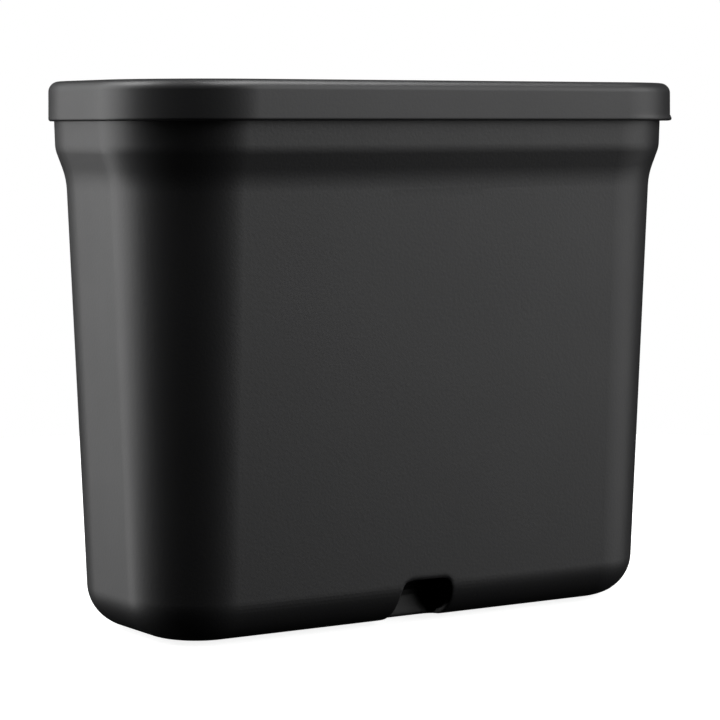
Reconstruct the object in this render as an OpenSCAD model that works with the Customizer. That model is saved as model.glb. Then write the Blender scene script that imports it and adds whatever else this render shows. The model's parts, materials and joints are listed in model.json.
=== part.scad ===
// Slim waste bin of about ten litres, with a lid hinged along its back.
//
// The tub, the lid and the bag ring are each one wall section swept round a rounded rectangle. The straight
// runs are extrusions and the corners are quarter revolutions, so every draft and radius of the mouldings is
// true. A section is drawn with its x measured outwards from the rectangle's edge and its y as the height.
//
// X runs along the bin, Y from front to back and Z up. The origin is on the floor, under the tub's middle.

/* [Tub] */
// Length over the rim, end to end
tub_length = 355; // [330:1:420]
// Depth over the rim, front to back
tub_depth = 152.5; // [140:0.5:190]
// Height of the rim above the underside
tub_height = 288; // [250:1:340]
// Corner radius at the rim, seen from above
rim_radius = 58; // [54:0.5:64]
// Thickness of the side walls
wall = 2.2; // [1.8:0.1:3]
// Thickness of the floor
floor_wall = 2.8; // [2.4:0.1:4]
// Draft of the side walls, in degrees
wall_draft = 2.28; // [1:0.02:2.6]
// Draft of the rim band, in degrees
band_draft = 1.7; // [0.5:0.1:3]
// Height of the rim band, from the shoulder to the rim
band_height = 29.8; // [27:0.1:40]
// Width of the step between the side walls and the rim band
shoulder_step = 5.7; // [4:0.1:7]
// Slope of the shoulder from the vertical, in degrees
shoulder_angle = 20; // [17:1:30]
// Radius of the hollow under the shoulder
shoulder_hollow = 39; // [20:1:40]
// Radius over the top of the shoulder
shoulder_round = 17; // [10:1:20]
// Radius between the side walls and the underside
base_radius = 23.8; // [16:0.1:26]
// How far the neck inside the lid is stepped in from the rim band
neck_step = 0.5; // [0.3:0.1:1]

/* [Finger recess] */
// Width of the recess at the underside
recess_width = 36; // [28:0.5:50]
// Height of the recess above the underside
recess_height = 23.1; // [18:0.1:28]
// Height at which the recess's ceiling begins to curve forward
recess_straight = 12; // [6:0.5:14]
// Corner radius at the back of the recess, under its ceiling
recess_corner = 11; // [4:0.5:12]
// How much narrower the recess is at its top, on each side
recess_taper = 5; // [2:0.5:8]

/* [Lid] */
// Thickness of the lid
lid_wall = 2; // [1.6:0.1:2.6]
// Height of the lid's skirt, from its lower edge to the top
lid_height = 20.4; // [18:0.1:26]
// Corner radius at the skirt's lower edge, seen from above
lid_radius = 62; // [58:0.5:66]
// Radius round the lid's top edge
lid_edge_radius = 5.6; // [3:0.1:7]
// Draft of the skirt, in degrees
lid_draft = 0.6; // [0.5:0.1:2]
// Room between the neck and the skirt at each end
lid_end_gap = 1.5; // [1.2:0.05:3]
// Room between the neck and the skirt at the back
lid_rear_gap = 2.5; // [1.5:0.1:5]
// Room between the neck and the skirt at the front, where the skirt swings past the rim
lid_front_gap = 6.9; // [4:0.1:9]
// Depth of the shallow panel in the lid's top
panel_depth = 0.8; // [0.4:0.1:1.2]
// Width of the border round that panel
panel_border = 15; // [12:0.5:24]
// Distance between the ribs under the lid
rib_pitch = 30; // [20:1:45]
// Height of the ribs under the lid
rib_height = 3; // [1.5:0.1:4]
// How far the finger lip stands out at the lid's right end
lip_reach = 1.2; // [0.6:0.1:2]
// Height of the finger lip
lip_height = 3.4; // [2:0.1:5]

/* [Hinge] */
// Distance of each hinge from the bin's middle
hinge_spread = 78; // [50:1:100]
// Radius of the hinge pins
pin_radius = 1.25; // [1:0.05:1.6]
// Running clearance of the pins in the lid's knuckles
pin_clearance = 0.07; // [0.04:0.01:0.1]
// Radius of the knuckles and of the ears that hold the pins
knuckle_radius = 3.5; // [3.2:0.1:4]
// Width of each knuckle
knuckle_width = 20; // [12:1:30]
// Width of each ear
ear_width = 6; // [4:0.5:8]
// Gap between a knuckle and an ear
ear_gap = 0.4; // [0.3:0.1:0.8]
// Distance of the hinge line behind the skirt
hinge_back = 4.1; // [4.1:0.1:6]
// Distance of the hinge line below the skirt's lower edge
hinge_drop = 4.5; // [4.5:0.1:6]
// Slope of the ears' undersides, in degrees
ear_slope = 30; // [15:1:40]
// Height to which the knuckles' arms climb the skirt
arm_height = 12; // [8:0.5:15]
// Thickness of those arms at their top
arm_wall = 1; // [0.8:0.1:2]
// Angle to which the lid opens, in degrees
open_angle = 105; // [95:1:110]
// Room left at the stop when the lid stands open
stop_gap = 0.1; // [0.05:0.05:0.3]

/* [Bag ring] */
// Thickness of the ring's flange, on which the lid's pads land
ring_flange = 1.8; // [1.4:0.1:3]
// Depth of the collar that holds the bag against the neck
ring_collar = 14; // [8:1:20]
// Thickness of the collar
ring_wall = 1.6; // [1.2:0.1:2]
// Room between the collar and the neck
ring_gap = 0.3; // [0.2:0.05:0.6]
// Radius of the finger tabs at the ring's ends
tab_radius = 15; // [10:1:20]

/* [Rubber parts] */
// Thickness of the pads under the lid
pad_height = 2.4; // [1.5:0.1:3]
// Length of each pad
pad_length = 16; // [10:1:30]
// Room between the pads and the ring when the lid is shut
pad_gap = 0.1; // [0.1:0.05:0.3]
// Distance of each pad from the bin's middle
pad_spread = 90; // [60:1:110]
// Radius of each foot
foot_radius = 8; // [6:0.5:10]
// How far the feet stand out below the underside
foot_proud = 1.2; // [0.8:0.1:2]
// Depth of the feet's sockets
foot_socket = 1.2; // [0.8:0.1:1.4]
// Room round a foot in its socket
foot_gap = 0.1; // [0.05:0.05:0.2]
// Distance of the feet from the bin's middle, along the bin
foot_spread_x = 112; // [80:1:125]
// Distance of the feet from the bin's middle, front to back
foot_spread_y = 22; // [14:1:24]

/* [Hidden] */

round_fn = 96;
arc_step = 7; // about how far apart an arc's points are, in degrees
cut = 1; // what a cut runs past the face that it opens
lead = 0.4; // small bevels

// The rectangle that the tub's and the ring's sections go round: its half length and half depth
core_x = tub_length / 2 - rim_radius;
core_y = tub_depth / 2 - rim_radius;

// Heights
base_z = foot_proud;
rim_z = base_z + tub_height;
ring_top = rim_z + ring_flange;
lid_top = ring_top + pad_gap + pad_height + lid_wall;
skirt_z = lid_top - lid_height;
neck_z = skirt_z + cut; // the neck starts just inside the skirt

// Corners of the tub's outer section, before they are rounded
band_foot = [rim_radius - tan(band_draft) * band_height, rim_z - band_height];
shoulder_foot = band_foot - shoulder_step * [1, 1 / tan(shoulder_angle)];
neck_radius = band_x(0, neck_z) - neck_step;
neck_inside = band_x(wall, neck_z);

// Radius at which the rounded base goes flat, and the recess's back wall, which stands there
base_flat = base_centre(0, base_z)[0];
recess_back = -(core_y + base_flat);

// The lid's rectangle, and how far the lid sits forward of the tub
skirt_length = 2 * (core_x + neck_radius + lid_end_gap + lid_wall);
skirt_depth = 2 * (core_y + neck_radius + lid_wall) + lid_front_gap + lid_rear_gap;
lid_core_x = skirt_length / 2 - lid_radius;
lid_core_y = skirt_depth / 2 - lid_radius;
lid_forward = (lid_front_gap - lid_rear_gap) / 2;
panel_radius = lid_radius - panel_border;
panel_z = lid_top - panel_depth;

// The hinge line
hinge_y = skirt_depth / 2 - lid_forward + hinge_back;
hinge_z = skirt_z - hinge_drop;

// Outward normal of a wall that leans out by t degrees as it rises
function normal(t) = [cos(t), -sin(t)];

// Point at a distance and a direction from the origin
function polar(distance, direction) = distance * [cos(direction), sin(direction)];

// Step from the corner of two walls with normals a and b to the corner of the same walls moved out by 1
function corner_step(a, b) = (a + b) / (1 + a * b);

// Centre of the rounding between the side wall and the underside, for a section set in by inset
function wall_corner(inset) = shoulder_foot - inset * corner_step(normal(wall_draft), normal(shoulder_angle));
function base_corner(inset, low) =
    let (p = wall_corner(inset))
    [p[0] - tan(wall_draft) * (p[1] - low), low];
function base_centre(inset, low) =
    base_corner(inset, low) - (base_radius - inset) * corner_step(normal(wall_draft), [0, -1]);

// Points along an arc, from one direction to another
function arc(centre, radius, from, to) =
    let (steps = ceil(abs(to - from) / arc_step))
    [for (i = [0:steps]) centre + polar(radius, from + (to - from) * i / steps)];

function reversed(points) = [for (i = [len(points) - 1:-1:0]) points[i]];

// Sweeps a section round a rectangle of half sizes x and y
module sweep(x, y) {
    for (turn = [0, 180]) rotate(turn) {
        translate([x, 0, 0]) rotate([90, 0, 0]) linear_extrude(2 * y, center = true) children();
        translate([0, y, 0]) rotate([90, 0, 90]) linear_extrude(2 * x, center = true) children();
        translate([x, y, 0]) rotate_extrude(angle = 90, $fn = round_fn) children();
        translate([-x, y, 0]) rotate([0, 0, 90]) rotate_extrude(angle = 90, $fn = round_fn) children();
    }
}

// Flat plate that closes the rectangle inside a sweep
module core_plate(x, y, low, thickness) {
    translate([-x, -y, low]) cube([2 * x, 2 * y, thickness]);
}

// Half width of the rim band and of the neck over it, at a height and for a section set in by inset
function band_x(inset, z) = rim_radius - tan(band_draft) * (rim_z - z) - inset / cos(band_draft);

// One face of the tub's section, from the middle of the floor to the rim: the outside for inset 0, the inside
// for inset wall
function tub_face(inset, low, neck, top) =
    let (
        side = normal(wall_draft),
        slope = normal(shoulder_angle),
        band = normal(band_draft)
    )
    concat(
        [[0, low]],
        arc(base_centre(inset, low), base_radius - inset, -90, -wall_draft),
        arc(shoulder_foot + shoulder_hollow * corner_step(side, slope), shoulder_hollow + inset,
            180 - wall_draft, 180 - shoulder_angle),
        arc(band_foot - shoulder_round * corner_step(slope, band), shoulder_round - inset,
            -shoulder_angle, -band_draft),
        [[band_x(inset, neck_z), neck_z], [neck, neck_z + lead], [neck, top]]
    );

module tub_shell() {
    sweep(core_x, core_y) polygon(concat(
        tub_face(0, base_z, neck_radius, rim_z),
        reversed(tub_face(wall, base_z + floor_wall, neck_inside, rim_z))
    ));
    core_plate(core_x, core_y, base_z, floor_wall);
}

// Space of the finger recess, made larger by grow on every side. Its back corners are sharp at the underside
// and open into wide rounds under a ceiling that curves forward to the front wall.
module recess_space(grow) {
    side_draft = 1;
    foot_corner = 0.5;
    ceiling_reach = 0.8 * base_radius;
    hull() {
        recess_slice(base_z - cut - grow, recess_width / 2, recess_back, foot_corner, grow);
        for (t = [0:15:90]) {
            rise = recess_straight + (recess_height - recess_straight) * sin(t);
            inward = 1 - cos(t);
            recess_slice(base_z + rise + grow * sin(t), recess_width / 2 - side_draft - recess_taper * inward,
                recess_back - ceiling_reach * inward, recess_corner, grow);
        }
    }
}

// Level slice of that space, from two round back corners to two square ones in front of the tub
module recess_slice(height, half_width, back, corner, grow) {
    slice = 0.01;
    for (side = [-1, 1]) {
        translate([side * (half_width - corner), back - corner, height])
            cylinder(r = corner + grow, h = slice, $fn = 40);
        translate([side * (half_width + grow) - slice / 2, -(tub_depth / 2 + cut), height]) cube(slice);
    }
}

// Stretch of the tub's form, filled out to the middle of its wall, in which the recess's own walls stay
module front_form() {
    translate([0, -core_y, 0]) rotate([90, 0, -90]) linear_extrude(2 * recess_width, center = true)
        polygon(concat(tub_face(wall / 2, base_z, neck_inside, rim_z), [[0, rim_z]]));
}

// Ear that holds an end of a hinge pin, with its underside sloping down to the rim band
module ear_outline() {
    root = core_y + neck_inside + wall / 2 - hinge_y;
    under = polar(knuckle_radius, ear_slope - 90);
    polygon(concat(
        [[root, knuckle_radius], [root, under[1] + (root - under[0]) * tan(ear_slope)]],
        arc([0, 0], knuckle_radius, ear_slope - 90, 90)
    ));
}

module ears() {
    for (side = [-1, 1], end = [-1, 1])
        translate([side * hinge_spread + end * (knuckle_width + ear_width + 2 * ear_gap) / 2, hinge_y, hinge_z])
            rotate([90, 0, 90]) linear_extrude(ear_width, center = true) ear_outline();
}

// Cylinder along the hinge line at each hinge
module hinge_bores(radius, width) {
    for (side = [-1, 1])
        translate([side * hinge_spread, hinge_y, hinge_z]) rotate([0, 90, 0])
            cylinder(r = radius, h = width, center = true, $fn = round_fn);
}

module at_feet() {
    for (x = [-1, 1], y = [-1, 1]) translate([x * foot_spread_x, y * foot_spread_y, 0]) children();
}

module tub() {
    color("#2b2b2c") difference() {
        union() {
            tub_shell();
            intersection() {
                recess_space(wall);
                front_form();
            }
            ears();
        }
        recess_space(0);
        at_feet() translate([0, 0, base_z - cut])
            cylinder(r = foot_radius + foot_gap, h = foot_socket + cut, $fn = round_fn);
        hinge_bores(pin_radius, knuckle_width + 2 * (ear_gap + ear_width + cut));
    }
}

// One face of the lid's section, from the skirt's lower edge to the middle of the panel: the outside for inset
// 0, the inside for inset lid_wall
function lid_face(inset) =
    let (
        skirt = normal(-lid_draft),
        top = lid_top - inset,
        foot = [lid_radius - inset / cos(lid_draft), skirt_z],
        corner = [foot[0] - tan(lid_draft) * (top - skirt_z), top],
        edge = panel_radius + inset * tan(22.5) // keeps the thickness through the sloping edge of the panel
    )
    concat(
        [foot],
        arc(corner - (lid_edge_radius - inset) * corner_step(skirt, [0, 1]), lid_edge_radius - inset, lid_draft, 90),
        [[edge + panel_depth, top], [edge, top - panel_depth], [0, top - panel_depth]]
    );

module lid_shell() {
    sweep(lid_core_x, lid_core_y) polygon(concat(lid_face(0), reversed(lid_face(lid_wall))));
    core_plate(lid_core_x, lid_core_y, panel_z - lid_wall, lid_wall);
}

// Ribs across the lid's underside, inside the mouth of the bag ring
module lid_ribs() {
    rib_wall = 0.7 * lid_wall;
    reach = lid_core_y + panel_radius * 0.7;
    count = floor(lid_core_x / rib_pitch);
    for (i = [-count:count])
        translate([i * rib_pitch - rib_wall / 2, -reach, panel_z - lid_wall - rib_height])
            cube([rib_wall, 2 * reach, rib_height + lid_wall / 2]);
    for (y = [-1, 1])
        translate([-count * rib_pitch, y * reach / 2 - rib_wall / 2, panel_z - lid_wall - rib_height])
            cube([2 * count * rib_pitch, rib_wall, rib_height + lid_wall / 2]);
}

// Crescent at the skirt's lower right end: the skirt's own outline moved to the right, so that it rises out
// of the corners and is highest at the end
module finger_lip() {
    outer = lid_radius - 0.1;
    inner = lid_radius - lid_wall / 2;
    module bead() {
        polygon([[inner, skirt_z], [outer - 0.5, skirt_z], [outer, skirt_z + 0.5],
            [outer, skirt_z + lip_height - 1.6], [inner, skirt_z + lip_height]]);
    }
    translate([lid_core_x + lip_reach, 0, 0]) {
        rotate([90, 0, 0]) linear_extrude(2 * lid_core_y, center = true) bead();
        for (side = [0, 1]) mirror([0, side, 0]) translate([0, lid_core_y, 0])
            rotate_extrude(angle = 88, $fn = round_fn) bead();
    }
}

// Knuckle that turns on a hinge pin. Its arm carries it from the skirt, and its tail meets the rim band when
// the lid reaches the open angle.
module knuckle_outline() {
    root = -hinge_back - lid_wall / 2;
    arm_top = [arm_wall - hinge_back, hinge_drop + arm_height];
    arm_side = atan2(arm_top[1], arm_top[0]) - acos(knuckle_radius / norm(arm_top));
    reach = ([hinge_y, hinge_z] - [core_y + rim_radius, rim_z]) * normal(band_draft) - stop_gap;
    heel = open_angle - 180 - band_draft; // direction of the tail's end face
    polygon(concat(
        [[root, hinge_drop], [root, arm_top[1]], arm_top],
        arc([0, 0], knuckle_radius, arm_side, heel + 60),
        [polar(reach / cos(9), heel + 9), polar(reach, heel), polar(reach - lead, heel - 14)],
        arc([0, 0], knuckle_radius, heel - 60, -160)
    ));
}

module lid() {
    color("#303031") difference() {
        union() {
            translate([0, -lid_forward, 0]) {
                lid_shell();
                lid_ribs();
                finger_lip();
            }
            for (side = [-1, 1]) translate([side * hinge_spread, hinge_y, hinge_z])
                rotate([90, 0, 90]) linear_extrude(knuckle_width, center = true) knuckle_outline();
        }
        hinge_bores(pin_radius + pin_clearance, knuckle_width + 2 * cut);
    }
}

// Drop-in ring: the collar holds the bag's turned-over edge against the neck, and the flange rests on the rim
module bag_ring() {
    outer = neck_inside - ring_gap;
    inner = outer - ring_wall;
    tip = ring_wall / 2;
    color("#3a3a3c") {
        sweep(core_x, core_y) polygon([
            [inner, ring_top], [inner, rim_z - ring_collar], [inner + tip, rim_z - ring_collar],
            [outer, rim_z - ring_collar + 2 * tip], [outer, rim_z], [neck_radius, rim_z],
            [neck_radius, ring_top - lead], [neck_radius - lead, ring_top]
        ]);
        for (turn = [0, 180]) rotate(turn) intersection() {
            translate([core_x + inner + tab_radius / 4, 0, rim_z])
                cylinder(r = tab_radius, h = ring_flange, $fn = round_fn);
            translate([0, -tab_radius, rim_z]) cube([core_x + inner + ring_wall / 2, 2 * tab_radius, ring_flange]);
        }
    }
}

module hinge_pin(side) {
    length = knuckle_width + 2 * (ear_gap + ear_width) - 0.6;
    chamfer = 0.3;
    color("#b9bcc0") translate([side * hinge_spread - length / 2, hinge_y, hinge_z]) rotate([0, 90, 0])
        rotate_extrude($fn = round_fn) polygon([[0, 0], [pin_radius - chamfer, 0], [pin_radius, chamfer],
            [pin_radius, length - chamfer], [pin_radius - chamfer, length], [0, length]]);
}

// Rubber pad under the lid's front edge, over the ring's flange
module lid_pad(side) {
    width = neck_radius - neck_inside + ring_gap + ring_wall;
    middle = core_y + neck_radius - width / 2;
    color("#202020") translate([side * pad_spread, -middle, ring_top + pad_gap])
        linear_extrude(pad_height) {
            square([pad_length - width, width], center = true);
            for (end = [-1, 1]) translate([end * (pad_length - width) / 2, 0]) circle(width / 2, $fn = round_fn);
        }
}

// Rubber foot in its socket, with a rounded tread
module foot(x, y) {
    tread = 0.5;
    height = foot_proud + foot_socket;
    color("#202020") translate([x * foot_spread_x, y * foot_spread_y, 0]) rotate_extrude($fn = round_fn)
        polygon([[0, 0], [foot_radius - tread, 0], [foot_radius, tread], [foot_radius, height], [0, height]]);
}

tub();
lid();
bag_ring();
hinge_pin(-1);  // hinge_pin_left
hinge_pin(1);  // hinge_pin_right
lid_pad(-1);  // lid_pad_left
lid_pad(1);  // lid_pad_right
foot(-1, -1);  // foot_front_left
foot(1, -1);  // foot_front_right
foot(-1, 1);  // foot_rear_left
foot(1, 1);  // foot_rear_right
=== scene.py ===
"""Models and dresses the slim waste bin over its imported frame, and sets up the studio round it."""

import json
import math

import bmesh
import bpy
from bpy.props import FloatProperty, IntProperty, PointerProperty, StringProperty
from mathutils import Matrix, Vector

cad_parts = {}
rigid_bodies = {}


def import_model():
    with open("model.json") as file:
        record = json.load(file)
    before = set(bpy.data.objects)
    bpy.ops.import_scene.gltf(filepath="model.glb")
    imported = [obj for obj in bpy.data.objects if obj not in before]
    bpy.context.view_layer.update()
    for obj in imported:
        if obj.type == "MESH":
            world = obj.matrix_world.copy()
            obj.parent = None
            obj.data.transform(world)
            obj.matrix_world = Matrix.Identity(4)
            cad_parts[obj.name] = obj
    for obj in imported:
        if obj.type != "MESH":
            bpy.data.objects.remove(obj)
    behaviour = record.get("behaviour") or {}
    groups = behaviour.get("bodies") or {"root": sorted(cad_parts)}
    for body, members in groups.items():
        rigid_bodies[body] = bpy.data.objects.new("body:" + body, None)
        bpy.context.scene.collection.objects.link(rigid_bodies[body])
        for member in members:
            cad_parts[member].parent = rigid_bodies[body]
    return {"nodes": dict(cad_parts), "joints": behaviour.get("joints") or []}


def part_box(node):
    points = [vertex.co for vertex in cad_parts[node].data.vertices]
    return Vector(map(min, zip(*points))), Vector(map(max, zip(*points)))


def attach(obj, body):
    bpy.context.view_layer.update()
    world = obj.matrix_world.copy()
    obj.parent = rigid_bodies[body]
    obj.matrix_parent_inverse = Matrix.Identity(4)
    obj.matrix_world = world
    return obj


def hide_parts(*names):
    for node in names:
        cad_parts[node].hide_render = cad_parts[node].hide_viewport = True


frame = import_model()

bl_info = {
    "name": "Slim Waste Bin",
    "version": (1, 0, 0),
    "blender": (4, 5, 0),
    "location": "3D View > Sidebar > Waste Bin",
    "description": "Models the mouldings and small parts of a slim waste bin, and its studio",
    "category": "Object",
}

MM = 0.001
TUB_LOW, TUB_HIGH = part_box("tub")
LID_LOW, LID_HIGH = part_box("lid")
LID_HINGE = frame["joints"][0]
HINGE = Vector(LID_HINGE["pos_m"])
LID_OPENS = math.radians(LID_HINGE["range_deg"][1])

SMALL_ROUND = 0.4 * MM  # on the edges of the neck, the ears and the knuckles
POINT = 0.001 * MM  # a ring so small that it stands for a point


def length(name, description, default):
    """A size in metres, written in millimetres."""
    return FloatProperty(
        name=name, description=description, default=default * MM, unit="LENGTH", min=0, precision=5
    )


def angle(name, description, default):
    """An angle, written in degrees."""
    return FloatProperty(
        name=name, description=description, default=math.radians(default), unit="ROTATION"
    )


def colour(name, description, default):
    """A colour, written as an sRGB hex value."""
    return StringProperty(name=name, description=description, default=default, maxlen=7)


class BinTubSizes(bpy.types.PropertyGroup):
    rim_length: length("Rim length", "Length over the rim", 355)
    rim_depth: length("Rim depth", "Depth over the rim, front to back", 152.5)
    rim_radius: length("Rim radius", "Corner radius at the rim, seen from above", 58)
    wall: length("Wall", "Thickness of the side walls", 2.2)
    floor_wall: length("Floor", "Thickness of the floor", 2.8)
    wall_draft: angle("Wall draft", "Lean of the side walls", 2.28)
    band_draft: angle("Band draft", "Lean of the rim band", 1.7)
    band_height: length("Band height", "Height of the rim band", 29.8)
    shoulder_step: length("Shoulder step", "Step from the walls out to the rim band", 5.7)
    shoulder_angle: angle("Shoulder angle", "Slope of the shoulder from the vertical", 20)
    shoulder_hollow: length("Shoulder hollow", "Radius under the shoulder", 39)
    shoulder_round: length("Shoulder round", "Radius over the shoulder", 17)
    base_radius: length("Base radius", "Radius between the walls and the underside", 23.8)
    neck_step: length("Neck step", "Step from the band in to the neck, inside the lid", 0.5)
    socket_gap: length("Socket gap", "Room between each foot and its socket", 0.1)


class BinRecessSizes(bpy.types.PropertyGroup):
    width: length("Width", "Width of the finger recess at the underside", 36)
    height: length("Height", "Height of the recess, with the soft edge round its mouth", 24)
    straight: length("Straight height", "Height at which the ceiling begins to curve", 12)
    corner: length("Corner radius", "Radius at the back corners, under the ceiling", 11)
    foot_corner: length("Foot corner radius", "Radius at the back corners, at the underside", 0.5)
    side_draft: length("Side draft", "How far each side closes in just over the underside", 1)
    taper: length("Taper", "How much further each side closes in up to the recess's top", 5)
    soft_edge: length("Soft edge", "Width of the soft round on each side of the mouth's edge", 4)
    grid: length("Grid", "Size of the grid to which the faces round the mouth are cut", 1)
    smoothing: IntProperty(
        name="Smoothing", description="How often the soft round is smoothed", default=10
    )


class BinLidSizes(bpy.types.PropertyGroup):
    length: length("Length", "Length of the lid at the skirt's lower edge", 360.222)
    depth: length("Depth", "Depth of the lid at the skirt's lower edge", 164.122)
    radius: length("Radius", "Corner radius at the skirt's lower edge", 62)
    height: length("Height", "Height of the skirt, from its lower edge to the top", 21.2)
    overlap: length("Overlap", "How far the skirt hangs over the tub's rim band", 1.8)
    draft: angle("Draft", "Lean of the skirt", 0.6)
    wall: length("Wall", "Thickness of the lid", 2)
    edge_radius: length("Edge radius", "Radius round the top edge", 5.6)
    hem_round: length("Hem round", "Radius on the skirt's outer bottom edge", 1.3)
    panel_depth: length("Panel depth", "Depth of the shallow panel in the top", 0.8)
    panel_border: length("Panel border", "Width of the border round the panel", 15)
    lip_reach: length("Lip reach", "How far the finger lip stands out at the right end", 1.1)
    lip_height: length("Lip height", "Height of the finger lip", 3.4)
    rib_pitch: length("Rib pitch", "Distance between the ribs", 30)
    rib_height: length("Rib height", "Height of the ribs", 3)


class BinHingeSizes(bpy.types.PropertyGroup):
    spread: length("Spread", "Distance of each hinge from the middle", 78)
    pin_radius: length("Pin radius", "Radius of the pins", 1.25)
    pin_gap: length("Pin gap", "Room between each pin and its knuckle", 0.07)
    knuckle_radius: length("Knuckle radius", "Radius of the knuckles and the ears", 3.5)
    knuckle_width: length("Knuckle width", "Width of each knuckle", 20)
    ear_width: length("Ear width", "Width of each ear", 6)
    ear_gap: length("Ear gap", "Gap between a knuckle and an ear", 0.4)
    ear_slope: angle("Ear slope", "Slope of the ears' undersides", 30)
    back: length("Hinge behind the skirt", "Distance of the hinge line behind the skirt", 4.1)
    drop: length("Hinge below the skirt", "Distance of the hinge line below the skirt", 4.5)
    arm_height: length("Arm height", "How far the knuckles' arms climb the skirt", 12)
    arm_wall: length("Arm wall", "Thickness of the arms at their top", 1)
    stop_gap: length("Stop gap", "Room left at the stop when the lid stands open", 0.1)


class BinFinish(bpy.types.PropertyGroup):
    tub: colour("Tub", "Colour of the tub's plastic", "#212122")
    lid: colour("Lid", "Colour of the lid's plastic", "#212122")
    ring: colour("Bag ring", "Colour of the bag ring's plastic", "#3A3A3C")
    rubber: colour("Rubber", "Colour of the pads and feet", "#191919")
    steel: colour("Steel", "Colour of the hinge pins", "#C4C6C9")
    grain: length("Grain", "Width of the plastic's grain, coarser than real so that it shows", 1.5)
    tub_relief: length("Tub relief", "Depth of the grain on the tub", 0.048)
    lid_relief: length("Lid relief", "Depth of the grain on the lid", 0.03)
    ring_relief: length("Ring relief", "Depth of the grain on the bag ring", 0.008)


class BinStudio(bpy.types.PropertyGroup):
    swing: angle("Camera swing", "How far the camera stands round to the bin's left", 32.884)
    turn: angle("Camera turn", "How far the camera is turned left of the bin's middle", 0.1536)
    pitch: angle("Camera pitch", "How far the camera looks down", 4.910)
    roll: angle("Camera roll", "Roll of the camera", -0.1145)
    distance: length("Camera distance", "Level distance from the bin's middle", 1505.2)
    height: length("Camera height", "Height of the camera over the tub's underside", 269.1)
    lens: FloatProperty(
        name="Lens", description="Focal length, in mm on a 36 mm sensor", default=134.86
    )
    floor: colour("Floor", "Colour of the floor's paint", "#E7E7E7")
    floor_radius: length("Floor radius", "Radius of the floor", 900)


GROUPS = {
    "bin_tub": BinTubSizes,
    "bin_recess": BinRecessSizes,
    "bin_lid": BinLidSizes,
    "bin_hinge": BinHingeSizes,
    "bin_finish": BinFinish,
    "bin_studio": BinStudio,
}


# Sections -----------------------------------------------------------------------------------


def polar(distance, direction):
    """The point at a distance and a direction from the origin, in a section."""
    return Vector((distance * math.cos(direction), distance * math.sin(direction)))


def normal(lean):
    """The outward normal of a wall that leans out as it rises."""
    return Vector((math.cos(lean), -math.sin(lean)))


def corner_step(a, b):
    """The step of a corner when its two walls, with these normals, move out by one unit."""
    return (a + b) / (1 + a.dot(b))


def arc(centre, radius, start, end, step=math.radians(5)):
    """Points along an arc, from one direction to another."""
    steps = max(2, math.ceil(abs(end - start) / step))
    return [centre + polar(radius, start + (end - start) * i / steps) for i in range(steps + 1)]


def band_x(s, inset, z):
    """Corner radius of the rim band at a height, for a face set in by inset."""
    return s.rim_radius - math.tan(s.band_draft) * (TUB_HIGH.z - z) - inset / math.cos(s.band_draft)


def tub_wall(s, inset, low):
    """Points of one face of the tub's wall, from the underside up to the band."""
    band_low = TUB_HIGH.z - s.band_height
    band_foot = Vector((band_x(s, 0, band_low), band_low))
    foot = band_foot - s.shoulder_step * Vector((1, 1 / math.tan(s.shoulder_angle)))
    side, slope, band = normal(s.wall_draft), normal(s.shoulder_angle), normal(s.band_draft)
    corner = foot - inset * corner_step(side, slope)
    base = Vector((corner.x - math.tan(s.wall_draft) * (corner.y - low), low))
    base -= (s.base_radius - inset) * corner_step(side, Vector((0, -1)))
    hollow = foot + s.shoulder_hollow * corner_step(side, slope)
    crown = band_foot - s.shoulder_round * corner_step(slope, band)
    return (
        arc(base, s.base_radius - inset, -math.pi / 2, -s.wall_draft)
        + arc(
            hollow, s.shoulder_hollow + inset, math.pi - s.wall_draft, math.pi - s.shoulder_angle
        )
        + arc(crown, s.shoulder_round - inset, -s.shoulder_angle, -s.band_draft)
    )


def lid_face(s, inset):
    """Points of one face of the lid, from the skirt's lower edge to the edge of the panel."""
    skirt = normal(-s.draft)
    top = LID_HIGH.z - inset
    foot = Vector((s.radius - inset / math.cos(s.draft), LID_HIGH.z - s.height))
    corner = Vector((foot.x - math.tan(s.draft) * (top - foot.y), top))
    corner -= (s.edge_radius - inset) * corner_step(skirt, Vector((0, 1)))
    # The step down to the panel slopes at 45 degrees, so its corners in the inner face are mitred.
    edge = s.radius - s.panel_border + inset * math.tan(math.pi / 8)
    return (
        [foot]
        + arc(corner, s.edge_radius - inset, s.draft, math.pi / 2)
        + [Vector((edge + s.panel_depth, top)), Vector((edge, top - s.panel_depth))]
    )


# Modelling ----------------------------------------------------------------------------------


def begin():
    """Leaves edit mode with nothing selected."""
    if bpy.context.object and bpy.context.object.mode != "OBJECT":
        bpy.ops.object.mode_set(mode="OBJECT")
    bpy.ops.object.select_all(action="DESELECT")


def pick(piece):
    """Selects the piece alone, and makes it active."""
    begin()
    bpy.context.view_layer.objects.active = piece
    piece.select_set(True)


def inset_along(points, facing):
    """Insets the selected face once for each point after the first, up or down to the point."""
    for (x0, z0), (x1, z1) in zip(points, points[1:]):
        bpy.ops.mesh.inset(
            thickness=max(0, x0 - x1), depth=facing * (z1 - z0), use_even_offset=True
        )


def skin(core, points, facing, corner_faces=28):
    """A plate with round corners at the first point, inset to a skin through the next points."""
    begin()
    start = points[0]
    bpy.ops.mesh.primitive_plane_add(size=2, location=(0, 0, start.y))
    bpy.ops.object.mode_set(mode="EDIT")
    bpy.ops.transform.resize(value=(core.x + start.x, core.y + start.x, 1))
    bpy.ops.mesh.bevel(affect="VERTICES", offset=start.x, segments=corner_faces)
    if facing < 0:
        bpy.ops.mesh.flip_normals()
    inset_along(points, facing)
    bpy.ops.object.mode_set(mode="OBJECT")
    return bpy.context.object


def moulding(core, over, under):
    """Two skins that start at one edge, joined into a closed shell."""
    return weld([skin(core, over, 1), skin(core, under, -1)])


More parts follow.
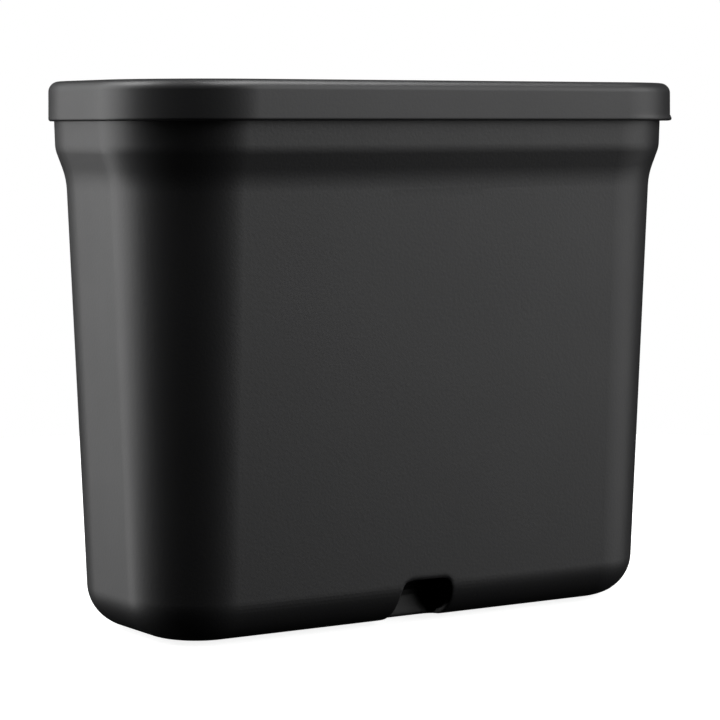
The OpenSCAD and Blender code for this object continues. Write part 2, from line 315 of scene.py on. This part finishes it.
def weld(pieces):
    """Joins the pieces into one mesh and merges what meets."""
    pick(pieces[0])
    for piece in pieces:
        piece.select_set(True)
    bpy.ops.object.join()
    bpy.ops.object.transform_apply(location=True, rotation=True, scale=True)
    bpy.ops.object.mode_set(mode="EDIT")
    bpy.ops.mesh.select_all(action="SELECT")
    bpy.ops.mesh.remove_doubles(threshold=0.01 * MM)
    bpy.ops.object.mode_set(mode="OBJECT")
    return pieces[0]


def plate(outline, x, width):
    """A plate across the bin: a point drawn along the outline, filled, and extruded."""
    begin()
    bpy.ops.mesh.primitive_plane_add(size=POINT, location=(x - width / 2, *outline[0]))
    bpy.ops.object.mode_set(mode="EDIT")
    bpy.ops.mesh.merge(type="CENTER")
    for here, there in zip(outline, outline[1:]):
        step = (0, *(there - here))
        bpy.ops.mesh.extrude_region_move(TRANSFORM_OT_translate={"value": step})
    bpy.ops.mesh.select_all(action="SELECT")
    bpy.ops.mesh.edge_face_add()
    bpy.ops.mesh.extrude_region_move(TRANSFORM_OT_translate={"value": (width, 0, 0)})
    bpy.ops.mesh.select_all(action="SELECT")
    bpy.ops.mesh.normals_make_consistent(inside=False)
    bpy.ops.object.mode_set(mode="OBJECT")
    bpy.ops.object.transform_apply(location=True, rotation=True, scale=True)
    return bpy.context.object


def rod(radius, x, width, sides=48):
    """A cylinder on the hinge line, which cuts the hole for a pin."""
    begin()
    bpy.ops.mesh.primitive_cylinder_add(
        vertices=sides, radius=radius, depth=width, location=(x, HINGE.y, HINGE.z),
        rotation=(0, math.pi / 2, 0),
    )
    bpy.ops.object.transform_apply(location=True, rotation=True, scale=True)
    return bpy.context.object


def block(low, high):
    """A box between two corners."""
    begin()
    bpy.ops.mesh.primitive_cube_add(size=1, location=(low + high) / 2)
    bpy.context.object.scale = high - low
    bpy.ops.object.transform_apply(location=True, rotation=True, scale=True)
    return bpy.context.object


def repeat(piece, moves):
    """The piece and a copy for each move away from it, each copy with its own mesh."""
    pieces = [piece]
    for move in moves:
        pick(piece)
        bpy.ops.object.duplicate(linked=False)
        bpy.ops.transform.translate(value=move)
        pieces.append(bpy.context.object)
    return pieces


def use_modifier(piece, kind, **settings):
    """Adds a modifier and applies it."""
    pick(piece)
    modifier = piece.modifiers.new(kind.title(), kind)
    for name, value in settings.items():
        setattr(modifier, name, value)
    bpy.ops.object.modifier_apply(modifier=modifier.name)


def combine(piece, tool, operation):
    """Adds, cuts or keeps what a tool covers, and removes the tool."""
    use_modifier(piece, "BOOLEAN", operation=operation, object=tool, solver="EXACT")
    bpy.data.objects.remove(tool)


def soften(piece, radius, segments=3, sharp=math.radians(35)):
    """Rounds the edges that are sharper than an angle."""
    use_modifier(
        piece, "BEVEL", width=radius, segments=segments, limit_method="ANGLE", angle_limit=sharp,
        harden_normals=False, use_clamp_overlap=True,
    )


def finish_piece(piece, name, material, slot, body, *nodes, smooth_below=math.radians(28)):
    """Names and shades the piece, gives it its material and body, and hides the nodes it replaces.
    The slot is not used.
    """
    pick(piece)
    piece.name = piece.data.name = name
    bpy.ops.object.transform_apply(location=True, rotation=True, scale=True)
    bpy.ops.object.shade_smooth_by_angle(angle=smooth_below)
    use_modifier(piece, "WEIGHTED_NORMAL", keep_sharp=True, weight=80)
    dress(piece, material)
    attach(piece, body)
    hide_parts(*nodes)


def dress(piece, material):
    """Gives a piece or a CAD node its material."""
    piece.data.materials.clear()
    piece.data.materials.append(material)


# Materials ----------------------------------------------------------------------------------


def linear(hex_colour):
    """An sRGB hex colour as linear RGBA."""
    parts = [int(hex_colour[i : i + 2], 16) / 255 for i in (1, 3, 5)]
    return [p / 12.92 if p <= 0.04045 else ((p + 0.055) / 1.055) ** 2.4 for p in parts] + [1]


def add_node(tree, kind, inputs=(), **settings):
    """Adds a node with its settings. Each input is a value or another node's socket."""
    node = tree.nodes.new(kind)
    for name, value in settings.items():
        setattr(node, name, value)
    for name, value in dict(inputs).items():
        if isinstance(value, bpy.types.NodeSocket):
            tree.links.new(value, node.inputs[name])
        else:
            node.inputs[name].default_value = value
    return node


def new_material(name):
    """A material with an empty tree."""
    material = bpy.data.materials.new(name)
    material.use_nodes = True
    material.node_tree.nodes.clear()
    return material, material.node_tree


def moulded_polypropylene(name, hex_colour, grain, relief):
    """Polypropylene, injection-moulded in a spark-eroded tool, which leaves a fine grain.

    The eye sees satin plastic: broad soft lights with no mirror images in them, a little
    uneven from grain to grain, and a gloss that drifts over the face as the tool's finish does.
    A real grain is some tenths of a millimetre wide and wouldn't show, so it is drawn coarser.
    """
    drift = 55.6 * MM
    material, tree = new_material(name)
    place = add_node(tree, "ShaderNodeTexCoord").outputs["Object"]
    cells = add_node(
        tree, "ShaderNodeTexNoise",
        {"Vector": place, "Scale": 1 / grain, "Detail": 1, "Roughness": 0.4},
    )
    bump = add_node(
        tree, "ShaderNodeBump",
        {"Height": cells.outputs["Fac"], "Strength": 1, "Distance": relief},
    )
    cloud = add_node(
        tree, "ShaderNodeTexNoise", {"Vector": place, "Scale": 1 / drift, "Detail": 3}
    )
    rough = add_node(
        tree, "ShaderNodeMapRange",
        {
            "Value": cloud.outputs["Fac"], "From Min": 0.3, "From Max": 0.7,
            "To Min": 0.43, "To Max": 0.47,
        },
    )
    shader = add_node(
        tree, "ShaderNodeBsdfPrincipled",
        {
            "Base Color": linear(hex_colour), "Roughness": rough.outputs[0],
            "Normal": bump.outputs[0], "IOR": 1.49,
        },
    )
    add_node(tree, "ShaderNodeOutputMaterial", {"Surface": shader.outputs[0]})
    return material


def moulded_rubber(name, hex_colour):
    """Compression-moulded rubber, dull to the eye, with a dusty look and no clear highlight.

    Its grain is finer than this in a real foot or pad, and is drawn coarser so that it shows.
    """
    grain, relief = 0.5 * MM, 0.03 * MM
    material, tree = new_material(name)
    place = add_node(tree, "ShaderNodeTexCoord").outputs["Object"]
    cells = add_node(
        tree, "ShaderNodeTexNoise", {"Vector": place, "Scale": 1 / grain, "Detail": 3}
    )
    bump = add_node(tree, "ShaderNodeBump", {"Height": cells.outputs["Fac"], "Distance": relief})
    shader = add_node(
        tree, "ShaderNodeBsdfPrincipled",
        {
            "Base Color": linear(hex_colour), "Roughness": 0.75, "IOR": 1.52,
            "Normal": bump.outputs[0],
        },
    )
    add_node(tree, "ShaderNodeOutputMaterial", {"Surface": shader.outputs[0]})
    return material


def drawn_steel(name, hex_colour):
    """Steel wire pulled through a die: a bright metal, streaked along its length.

    The die's marks are finer than this, and are drawn coarser so that they show.
    """
    mark_width, mark_length = 0.3 * MM, 6 * MM
    material, tree = new_material(name)
    place = add_node(tree, "ShaderNodeTexCoord").outputs["Object"]
    along = add_node(
        tree, "ShaderNodeMapping", {"Vector": place, "Scale": (mark_width / mark_length, 1, 1)}
    )
    marks = add_node(
        tree, "ShaderNodeTexNoise",
        {"Vector": along.outputs[0], "Scale": 1 / mark_width, "Detail": 2},
    )
    rough = add_node(
        tree, "ShaderNodeMapRange",
        {"Value": marks.outputs["Fac"], "To Min": 0.22, "To Max": 0.42},
    )
    shader = add_node(
        tree, "ShaderNodeBsdfPrincipled",
        {"Base Color": linear(hex_colour), "Metallic": 1, "Roughness": rough.outputs[0]},
    )
    add_node(tree, "ShaderNodeOutputMaterial", {"Surface": shader.outputs[0]})
    return material


# Tub ----------------------------------------------------------------------------------------


def core_of(s):
    """Half sizes of the rectangle that the tub's section goes round."""
    return Vector((s.rim_length / 2 - s.rim_radius, s.rim_depth / 2 - s.rim_radius))


def neck_z():
    """Height of the step from the rim band to the neck, inside the lid."""
    lid = bpy.context.scene.bin_lid
    return LID_HIGH.z - lid.height + lid.overlap


def recess_back(s):
    """Where the recess's back meets the underside, at the edge of the base radius."""
    return -(core_of(s).y + tub_wall(s, 0, TUB_LOW.z)[0].x)


def recess_space(grow):
    """The finger recess's space, made larger by grow: rings at several heights in one hull."""
    tub, recess = bpy.context.scene.bin_tub, bpy.context.scene.bin_recess
    past = 1 * MM  # how far the space stands out of the tub, below it and ahead of it
    ceiling_reach = 0.8 * tub.base_radius
    front = -tub.rim_depth / 2 - past
    back = recess_back(tub)
    rings = [(TUB_LOW.z - past - grow, recess.width / 2, back, recess.foot_corner)]
    for turn in map(math.radians, range(0, 91, 15)):
        inward = 1 - math.cos(turn)
        rise = recess.straight + (recess.height - recess.straight) * math.sin(turn)
        height = TUB_LOW.z + rise + grow * math.sin(turn)
        half = recess.width / 2 - recess.side_draft - recess.taper * inward
        rings.append((height, half, back - ceiling_reach * inward, recess.corner))
    begin()
    bpy.ops.mesh.primitive_circle_add(vertices=4, radius=POINT, location=(0, front, TUB_LOW.z))
    bpy.ops.object.transform_apply(location=True)
    bpy.ops.object.mode_set(mode="EDIT")
    for height, half, deep, corner in rings:
        for side in (-1, 1):
            bpy.ops.mesh.primitive_circle_add(
                vertices=64, radius=corner + grow,
                location=(side * (half - corner), deep - corner, height),
            )
            bpy.ops.mesh.primitive_circle_add(
                vertices=4, radius=POINT, location=(side * (half + grow), front, height)
            )
    bpy.ops.mesh.select_all(action="SELECT")
    bpy.ops.mesh.convex_hull()
    bpy.ops.object.mode_set(mode="OBJECT")
    return bpy.context.object


def soften_recess(piece):
    """Rounds the recess's mouth: a fine grid of faces, smoothed on both sides of its edge."""
    tub, recess = bpy.context.scene.bin_tub, bpy.context.scene.bin_recess
    margin = 3 * recess.soft_edge
    low = Vector((-recess.width / 2 - margin, -tub.rim_depth / 2, TUB_LOW.z - recess.grid))
    high = Vector(
        (recess.width / 2 + margin, recess_back(tub) + margin, TUB_LOW.z + recess.height + margin)
    )
    pick(piece)
    bpy.ops.object.mode_set(mode="EDIT")
    cut_to_grid(piece, low, high, recess.grid)
    select_mouth(piece, low, high)
    for _ in range(round(recess.soft_edge / recess.grid)):
        bpy.ops.mesh.select_more()
    bpy.ops.mesh.vertices_smooth(factor=0.5, repeat=recess.smoothing)
    bpy.ops.object.mode_set(mode="OBJECT")


def cut_to_grid(piece, low, high, grid):
    """Cuts the faces that reach into a box along planes a grid's width apart, in edit mode."""
    bpy.ops.mesh.select_mode(type="FACE")
    for axis in range(3):
        for step in range(math.ceil((high[axis] - low[axis]) / grid) + 1):
            place = low.copy()
            place[axis] += step * grid
            bpy.ops.mesh.select_all(action="DESELECT")
            mesh = bmesh.from_edit_mesh(piece.data)
            for face in mesh.faces:
                face.select_set(reaches_into(face, low, high))
            bmesh.update_edit_mesh(piece.data)
            bpy.ops.mesh.bisect(plane_co=place, plane_no=[float(i == axis) for i in range(3)])


def reaches_into(face, low, high):
    """True for a face that has some part inside a box."""
    points = [vert.co for vert in face.verts]
    return all(
        max(p[i] for p in points) > low[i] and min(p[i] for p in points) < high[i]
        for i in range(3)
    )


def select_mouth(piece, low, high, sharp=math.radians(25)):
    """Selects the ends of the sharp edges on the tub's outer face in a box, in edit mode."""
    bpy.ops.mesh.select_mode(type="VERT")
    bpy.ops.mesh.select_all(action="DESELECT")
    mesh = bmesh.from_edit_mesh(piece.data)
    for edge in mesh.edges:
        middle = (edge.verts[0].co + edge.verts[1].co) / 2
        near = all(low[i] < middle[i] < high[i] for i in range(3))
        if near and edge.is_manifold and edge.calc_face_angle() > sharp and on_outside(middle):
            edge.verts[0].select_set(True)
            edge.verts[1].select_set(True)
    bmesh.update_edit_mesh(piece.data)


def on_outside(point, near=0.1 * MM):
    """True on the tub's underside, or on the outer face of its front."""
    tub = bpy.context.scene.bin_tub
    depth = -point.y - core_of(tub).y
    wall = tub_wall(tub, 0, TUB_LOW.z)
    if abs(point.z - TUB_LOW.z) < near / 2:
        return True
    for low, high in zip(wall, wall[1:]):
        if low.y <= point.z <= high.y and high.y > low.y:
            share = (point.z - low.y) / (high.y - low.y)
            return abs(low.x + (high.x - low.x) * share - depth) < near
    return False


def foot_socket(node, gap):
    """A short cylinder that cuts the socket of a foot into the underside."""
    low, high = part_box(node)
    begin()
    bpy.ops.mesh.primitive_cylinder_add(
        vertices=64, radius=(high.x - low.x) / 2 + gap, depth=2 * (high.z - TUB_LOW.z),
        location=((low.x + high.x) / 2, (low.y + high.y) / 2, TUB_LOW.z),
    )
    return bpy.context.object


def ears(s, hinge, neck_inside):
    """The four ears that hold the ends of the pins, each with its underside sloping down."""
    radius = hinge.knuckle_radius
    root = core_of(s).y + neck_inside + s.wall / 2 - HINGE.y
    down = hinge.ear_slope - math.pi / 2
    under = polar(radius, down)
    outline = [
        Vector((root, radius)),
        Vector((root, under.y + (root - under.x) * math.tan(hinge.ear_slope))),
    ]
    outline += arc(Vector((0, 0)), radius, down, math.pi / 2)
    offset = (hinge.knuckle_width + hinge.ear_width + 2 * hinge.ear_gap) / 2
    first, *others = [side * hinge.spread + end * offset for side in (-1, 1) for end in (-1, 1)]
    piece = plate([p + Vector(HINGE.yz) for p in outline], first, hinge.ear_width)
    soften(piece, SMALL_ROUND)
    combine(piece, rod(hinge.pin_radius, first, 2 * hinge.ear_width), "DIFFERENCE")
    return repeat(piece, [Vector((x - first, 0, 0)) for x in others])


class BIN_OT_tub(bpy.types.Operator):
    """Models the tub: its shell, finger recess, foot sockets and hinge ears"""

    bl_idname = "bin.tub"
    bl_label = "Tub"

    def execute(self, context):
        s, finish = context.scene.bin_tub, context.scene.bin_finish
        core, step_z = core_of(s), neck_z()
        seam = Vector((band_x(s, 0, step_z), step_z))
        neck = seam.x - s.neck_step
        neck_inside = band_x(s, s.wall, step_z)
        outside = [seam] + tub_wall(s, 0, TUB_LOW.z)[::-1]
        inside = [
            seam,
            Vector((neck, seam.y + SMALL_ROUND)),
            Vector((neck, TUB_HIGH.z - SMALL_ROUND)),
            Vector((neck - SMALL_ROUND, TUB_HIGH.z)),
            Vector((neck_inside + SMALL_ROUND, TUB_HIGH.z)),
            Vector((neck_inside, TUB_HIGH.z - SMALL_ROUND)),
            Vector((neck_inside, seam.y)),
        ] + tub_wall(s, s.wall, TUB_LOW.z + s.floor_wall)[::-1]
        tub = moulding(core, inside, outside)

        # The recess has a wall of its own, which ends in the middle of the tub's wall.
        pocket = recess_space(s.wall)
        middle = [Vector((band_x(s, s.wall / 2, step_z), step_z))]
        middle += tub_wall(s, s.wall / 2, TUB_LOW.z)[::-1]
        combine(pocket, moulding(core, middle[:1], middle), "INTERSECT")
        combine(tub, pocket, "UNION")
        combine(tub, recess_space(0), "DIFFERENCE")
        soften_recess(tub)

        for end in ("left", "right"):
            for side in ("front", "rear"):
                combine(tub, foot_socket(f"foot_{side}_{end}", s.socket_gap), "DIFFERENCE")
        tub = weld([tub] + ears(s, context.scene.bin_hinge, neck_inside))
        plastic = moulded_polypropylene(
            "Grained polypropylene, tub", finish.tub, finish.grain, finish.tub_relief
        )
        finish_piece(tub, "tub_moulding", plastic, "tub_plastic", "bin", "tub")
        return {"FINISHED"}


# Lid ----------------------------------------------------------------------------------------

# The finger lip's profile. Each row is a height, the next height, and how far the skirt stands
# out between them, as shares of the lip's height and of its reach.
LIP_PROFILE = ((-0.1, 0.1, 0.6), (0.1, 0.55, 1), (0.55, 0.8, 0.55))
LIP_RINGS = (0.5, 0.75, 1)  # the edges round the skirt that it is drawn from, as such shares
LIP_RUNOUT = 2 * MM  # from the lip's top to one more edge, over which the skirt stays straight


def pull_lip(lid, s, core, skirt_z):
    """Draws the lip out of the skirt's lowest edges at the right end."""
    pick(lid)
    bpy.ops.object.mode_set(mode="EDIT")
    for low, high, share in LIP_PROFILE:
        bpy.ops.mesh.select_all(action="DESELECT")
        mesh = bmesh.from_edit_mesh(lid.data)
        for vertex in mesh.verts:
            height = (vertex.co.z - skirt_z) / s.lip_height
            x, y = abs(vertex.co.x) - core.x, abs(vertex.co.y) - core.y
            outer = math.hypot(max(x, 0), max(y, 0)) > s.radius - s.wall / 2
            if vertex.co.x > 0 and low < height <= high and outer:
                vertex.select_set(True)
        bmesh.update_edit_mesh(lid.data)
        mesh.select_flush_mode()
        bpy.ops.transform.translate(value=(share * s.lip_reach, 0, 0))
    bpy.ops.object.mode_set(mode="OBJECT")


def ribs(s, core, forward):
    """The ribs under the lid, across it and along it."""
    thickness = 0.7 * s.wall  # thinner than the top, which would sink over a thick rib
    root = s.wall / 4  # how far the ribs reach into the top
    reach = core.y + 0.7 * (s.radius - s.panel_border)  # short of the panel's border
    under = LID_HIGH.z - s.panel_depth - s.wall
    low, high = under - s.rib_height, under + root
    count = int(core.x // s.rib_pitch)
    far = count * s.rib_pitch
    half = thickness / 2
    across = block(
        Vector((-far - half, forward - reach, low)), Vector((-far + half, forward + reach, high))
    )
    y = forward - reach / 2
    along = block(Vector((-far, y - half, low)), Vector((far, y + half, high)))
    for rib in (across, along):
        soften(rib, 0.25 * MM, segments=2)
    pitches = [Vector((i * s.rib_pitch, 0, 0)) for i in range(1, 2 * count + 1)]
    return repeat(across, pitches) + repeat(along, [Vector((0, reach, 0))])


def knuckles(s, hinge):
    """The two knuckles, each with an arm up the skirt and the tail that stops the lid."""
    tub = bpy.context.scene.bin_tub
    radius = hinge.knuckle_radius
    root = -hinge.back - s.wall / 2
    top = Vector((hinge.arm_wall - hinge.back, hinge.drop + hinge.arm_height))
    arm_side = math.atan2(top.y, top.x) - math.acos(radius / top.length)
    arm_foot = math.radians(-160)
    rim = Vector((core_of(tub).y + tub.rim_radius, TUB_HIGH.z))
    reach = (Vector(HINGE.yz) - rim).dot(normal(tub.band_draft)) - hinge.stop_gap
    # The tail's heel points straight at the rim band when the lid stands open. A flat face lies
    # on one side of it, and a relief on the other. Both flanks run in to the knuckle's round.
    heel = LID_OPENS - math.pi - tub.band_draft
    face, relief, flank = map(math.radians, (9, 14, 60))
    tail = [
        polar(reach / math.cos(face), heel + face),
        polar(reach, heel),
        polar(reach - SMALL_ROUND, heel - relief),
    ]
    outline = [
        Vector((root, hinge.drop)), Vector((root, top.y)), top,
        *arc(Vector((0, 0)), radius, arm_side, heel + flank),
        *tail,
        *arc(Vector((0, 0)), radius, heel - flank, arm_foot),
    ]
    x = -hinge.spread
    piece = plate([p + Vector(HINGE.yz) for p in outline], x, hinge.knuckle_width)
    soften(piece, SMALL_ROUND)
    bore = rod(hinge.pin_radius + hinge.pin_gap, x, 2 * hinge.knuckle_width)
    combine(piece, bore, "DIFFERENCE")
    return repeat(piece, [Vector((2 * hinge.spread, 0, 0))])


class BIN_OT_lid(bpy.types.Operator):
    """Models the lid: its shell with the finger lip, its ribs and its hinge knuckles"""

    bl_idname = "bin.lid"
    bl_label = "Lid"

    def execute(self, context):
        s, finish = context.scene.bin_lid, context.scene.bin_finish
        core = Vector((s.length / 2 - s.radius, s.depth / 2 - s.radius))
        skirt_z = LID_HIGH.z - s.height
        forward = LID_LOW.y + s.depth / 2
        outside, inside = lid_face(s, 0), lid_face(s, s.wall)
        foot, slope = outside[0], math.tan(s.draft)
        centre = Vector((foot.x - (1 + slope) * s.hem_round, skirt_z + s.hem_round))
        hem = arc(centre, s.hem_round, 0, -math.pi / 2, step=math.radians(22.5))
        rises = [share * s.lip_height for share in LIP_RINGS] + [s.lip_height + LIP_RUNOUT]
        lip = [Vector((foot.x - slope * rise, skirt_z + rise)) for rise in rises]
        lid = moulding(core, hem[:1] + lip + outside[1:], hem + inside)
        pull_lip(lid, s, core, skirt_z)
        lid.location.y = forward
        lid = weld([lid] + ribs(s, core, forward) + knuckles(s, context.scene.bin_hinge))
        plastic = moulded_polypropylene(
            "Grained polypropylene, lid", finish.lid, finish.grain, finish.lid_relief
        )
        finish_piece(lid, "lid_moulding", plastic, "lid_plastic", "lid", "lid")
        return {"FINISHED"}


# Bag ring and small parts -------------------------------------------------------------------


class BIN_OT_bag_ring(bpy.types.Operator):
    """Gives the drop-in ring that holds the bag its material"""

    bl_idname = "bin.bag_ring"
    bl_label = "Bag ring"

    def execute(self, context):
        finish = context.scene.bin_finish
        plastic = moulded_polypropylene(
            "Smooth polypropylene, bag ring", finish.ring, finish.grain, finish.ring_relief
        )
        dress(frame["nodes"]["bag_ring"], plastic)
        return {"FINISHED"}


class BIN_OT_small_parts(bpy.types.Operator):
    """Gives the hinge pins, the lid's pads and the feet their materials"""

    bl_idname = "bin.small_parts"
    bl_label = "Pins, pads and feet"

    def execute(self, context):
        finish = context.scene.bin_finish
        rubber = moulded_rubber("Moulded rubber", finish.rubber)
        steel = drawn_steel("Drawn steel wire", finish.steel)
        for name, node in frame["nodes"].items():
            if name.startswith("hinge_pin"):
                dress(node, steel)
            if name.startswith(("lid_pad", "foot")):
                dress(node, rubber)
        return {"FINISHED"}


# Studio -------------------------------------------------------------------------------------


def white_surroundings(scene):
    """White where the camera sees past the floor, and dark for the light on the bin."""
    world = scene.world = bpy.data.worlds.new("surroundings")
    world.use_nodes = True
    tree = world.node_tree
    tree.nodes.clear()
    camera_ray = add_node(tree, "ShaderNodeLightPath").outputs["Is Camera Ray"]
    white = add_node(
        tree, "ShaderNodeBackground", {"Color": linear("#FFFFFF"), "Strength": camera_ray}
    )
    add_node(tree, "ShaderNodeOutputWorld", {"Surface": white.outputs[0]})


def pale_floor(s):
    """A floor that keeps the bin's faint shadow, and lets light from below pass."""
    begin()
    bpy.ops.mesh.primitive_circle_add(vertices=96, radius=s.floor_radius, fill_type="NGON")
    floor = bpy.context.object
    floor.name = "floor"
    dress(floor, white_floor_paint("Matt white floor paint", s.floor))


def white_floor_paint(name, hex_colour):
    """Matt white paint. A glow of its own lifts it to pure white and leaves its shadow faint.

    Only camera rays from above meet it, so it neither hides the underside nor stops the lamps
    that stand below it.
    """
    material, tree = new_material(name)
    matt = add_node(tree, "ShaderNodeBsdfDiffuse", {"Color": linear(hex_colour)})
    glow = add_node(tree, "ShaderNodeEmission", {"Strength": 0.86})
    paint = add_node(tree, "ShaderNodeAddShader", {0: matt.outputs[0], 1: glow.outputs[0]})
    camera_ray = add_node(tree, "ShaderNodeLightPath").outputs["Is Camera Ray"]
    underside = add_node(tree, "ShaderNodeNewGeometry").outputs["Backfacing"]
    seen = add_node(
        tree, "ShaderNodeMath", {0: camera_ray, 1: underside}, operation="SUBTRACT", use_clamp=True
    )
    clear = add_node(tree, "ShaderNodeBsdfTransparent")
    shader = add_node(
        tree, "ShaderNodeMixShader", {0: seen.outputs[0], 1: clear.outputs[0], 2: paint.outputs[0]}
    )
    add_node(tree, "ShaderNodeOutputMaterial", {"Surface": shader.outputs[0]})
    return material


def soft_lamp(name, place, size, power):
    """A soft box that looks at the middle of the bin. Its size is its width and height."""
    begin()
    bpy.ops.object.light_add(type="AREA", location=place)
    lamp = bpy.context.object
    lamp.name = lamp.data.name = name
    lamp.data.shape = "RECTANGLE"
    lamp.data.size, lamp.data.size_y = size
    lamp.data.energy = power
    middle = (TUB_LOW + TUB_HIGH) / 2
    lamp.rotation_mode = "QUATERNION"
    lamp.rotation_quaternion = (middle - lamp.location).to_track_quat("-Z", "Y")


def studio_camera(scene, s):
    """The camera, which stands round to the bin's left and a little over its middle."""
    begin()
    bpy.ops.object.camera_add()
    camera = scene.camera = bpy.context.object
    camera.name = camera.data.name = "camera"
    camera.data.lens = s.lens
    camera.data.sensor_width = 36
    stand = Vector((-math.sin(s.swing), -math.cos(s.swing), 0)) * s.distance
    stand.z = TUB_LOW.z + s.height
    camera.matrix_world = (
        Matrix.Translation(stand)
        @ Matrix.Rotation(s.turn - s.swing, 4, "Z")
        @ Matrix.Rotation(math.pi / 2 - s.pitch, 4, "X")
        @ Matrix.Rotation(s.roll, 4, "Z")
    )


class BIN_OT_studio(bpy.types.Operator):
    """Sets up the white surroundings, the floor, the lamps and the camera"""

    bl_idname = "bin.studio"
    bl_label = "Studio"

    def execute(self, context):
        scene = context.scene
        scene.view_settings.view_transform = "Standard"
        white_surroundings(scene)
        pale_floor(scene.bin_studio)

        # Large lamps at the left and the right light the two faces. A fill under each lights
        # the lower curves and the recess, and small lamps over the bin draw the lid's edge.
        soft_lamp("left_lamp", place=(-1.03, 0.78, 0.66), size=(1.33, 1.69), power=21)
        soft_lamp("left_fill", place=(-1.29, 1.39, -0.40), size=(0.44, 0.53), power=3.8)
        soft_lamp("right_lamp", place=(1.80, -1.61, 1.10), size=(2.51, 1.37), power=37)
        soft_lamp("right_fill", place=(1.98, -1.44, -0.15), size=(2.74, 1.04), power=11)
        soft_lamp("top_lamp", place=(0.12, -0.28, 1.01), size=(0.70, 0.34), power=8)
        soft_lamp("top_left_lamp", place=(-0.55, 0.20, 0.95), size=(0.35, 0.35), power=4)

        studio_camera(scene, scene.bin_studio)
        return {"FINISHED"}


# Panel and registration ---------------------------------------------------------------------


class BIN_PT_panel(bpy.types.Panel):
    """Lists the bin's steps, sizes and colours"""

    bl_idname = "BIN_PT_panel"
    bl_label = "Slim Waste Bin"
    bl_space_type = "VIEW_3D"
    bl_region_type = "UI"
    bl_category = "Waste Bin"

    def draw(self, context):
        for operator in OPERATORS:
            self.layout.operator(operator.bl_idname)
        for group in GROUPS:
            box = self.layout.box()
            settings = getattr(context.scene, group)
            box.label(text=group.replace("_", " ").title())
            for name in settings.__annotations__:
                box.prop(settings, name)


OPERATORS = (BIN_OT_tub, BIN_OT_lid, BIN_OT_bag_ring, BIN_OT_small_parts, BIN_OT_studio)


def register():
    for name, group in GROUPS.items():
        bpy.utils.register_class(group)
        setattr(bpy.types.Scene, name, PointerProperty(type=group))
    for item in (*OPERATORS, BIN_PT_panel):
        bpy.utils.register_class(item)


def unregister():
    for item in reversed((*OPERATORS, BIN_PT_panel)):
        bpy.utils.unregister_class(item)
    for name, group in reversed(GROUPS.items()):
        delattr(bpy.types.Scene, name)
        bpy.utils.unregister_class(group)


def main():
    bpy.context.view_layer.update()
    register()
    bpy.ops.bin.tub()
    bpy.ops.bin.lid()
    bpy.ops.bin.bag_ring()
    bpy.ops.bin.small_parts()
    bpy.ops.bin.studio()
    begin()


if __name__ == "__main__":
    main()
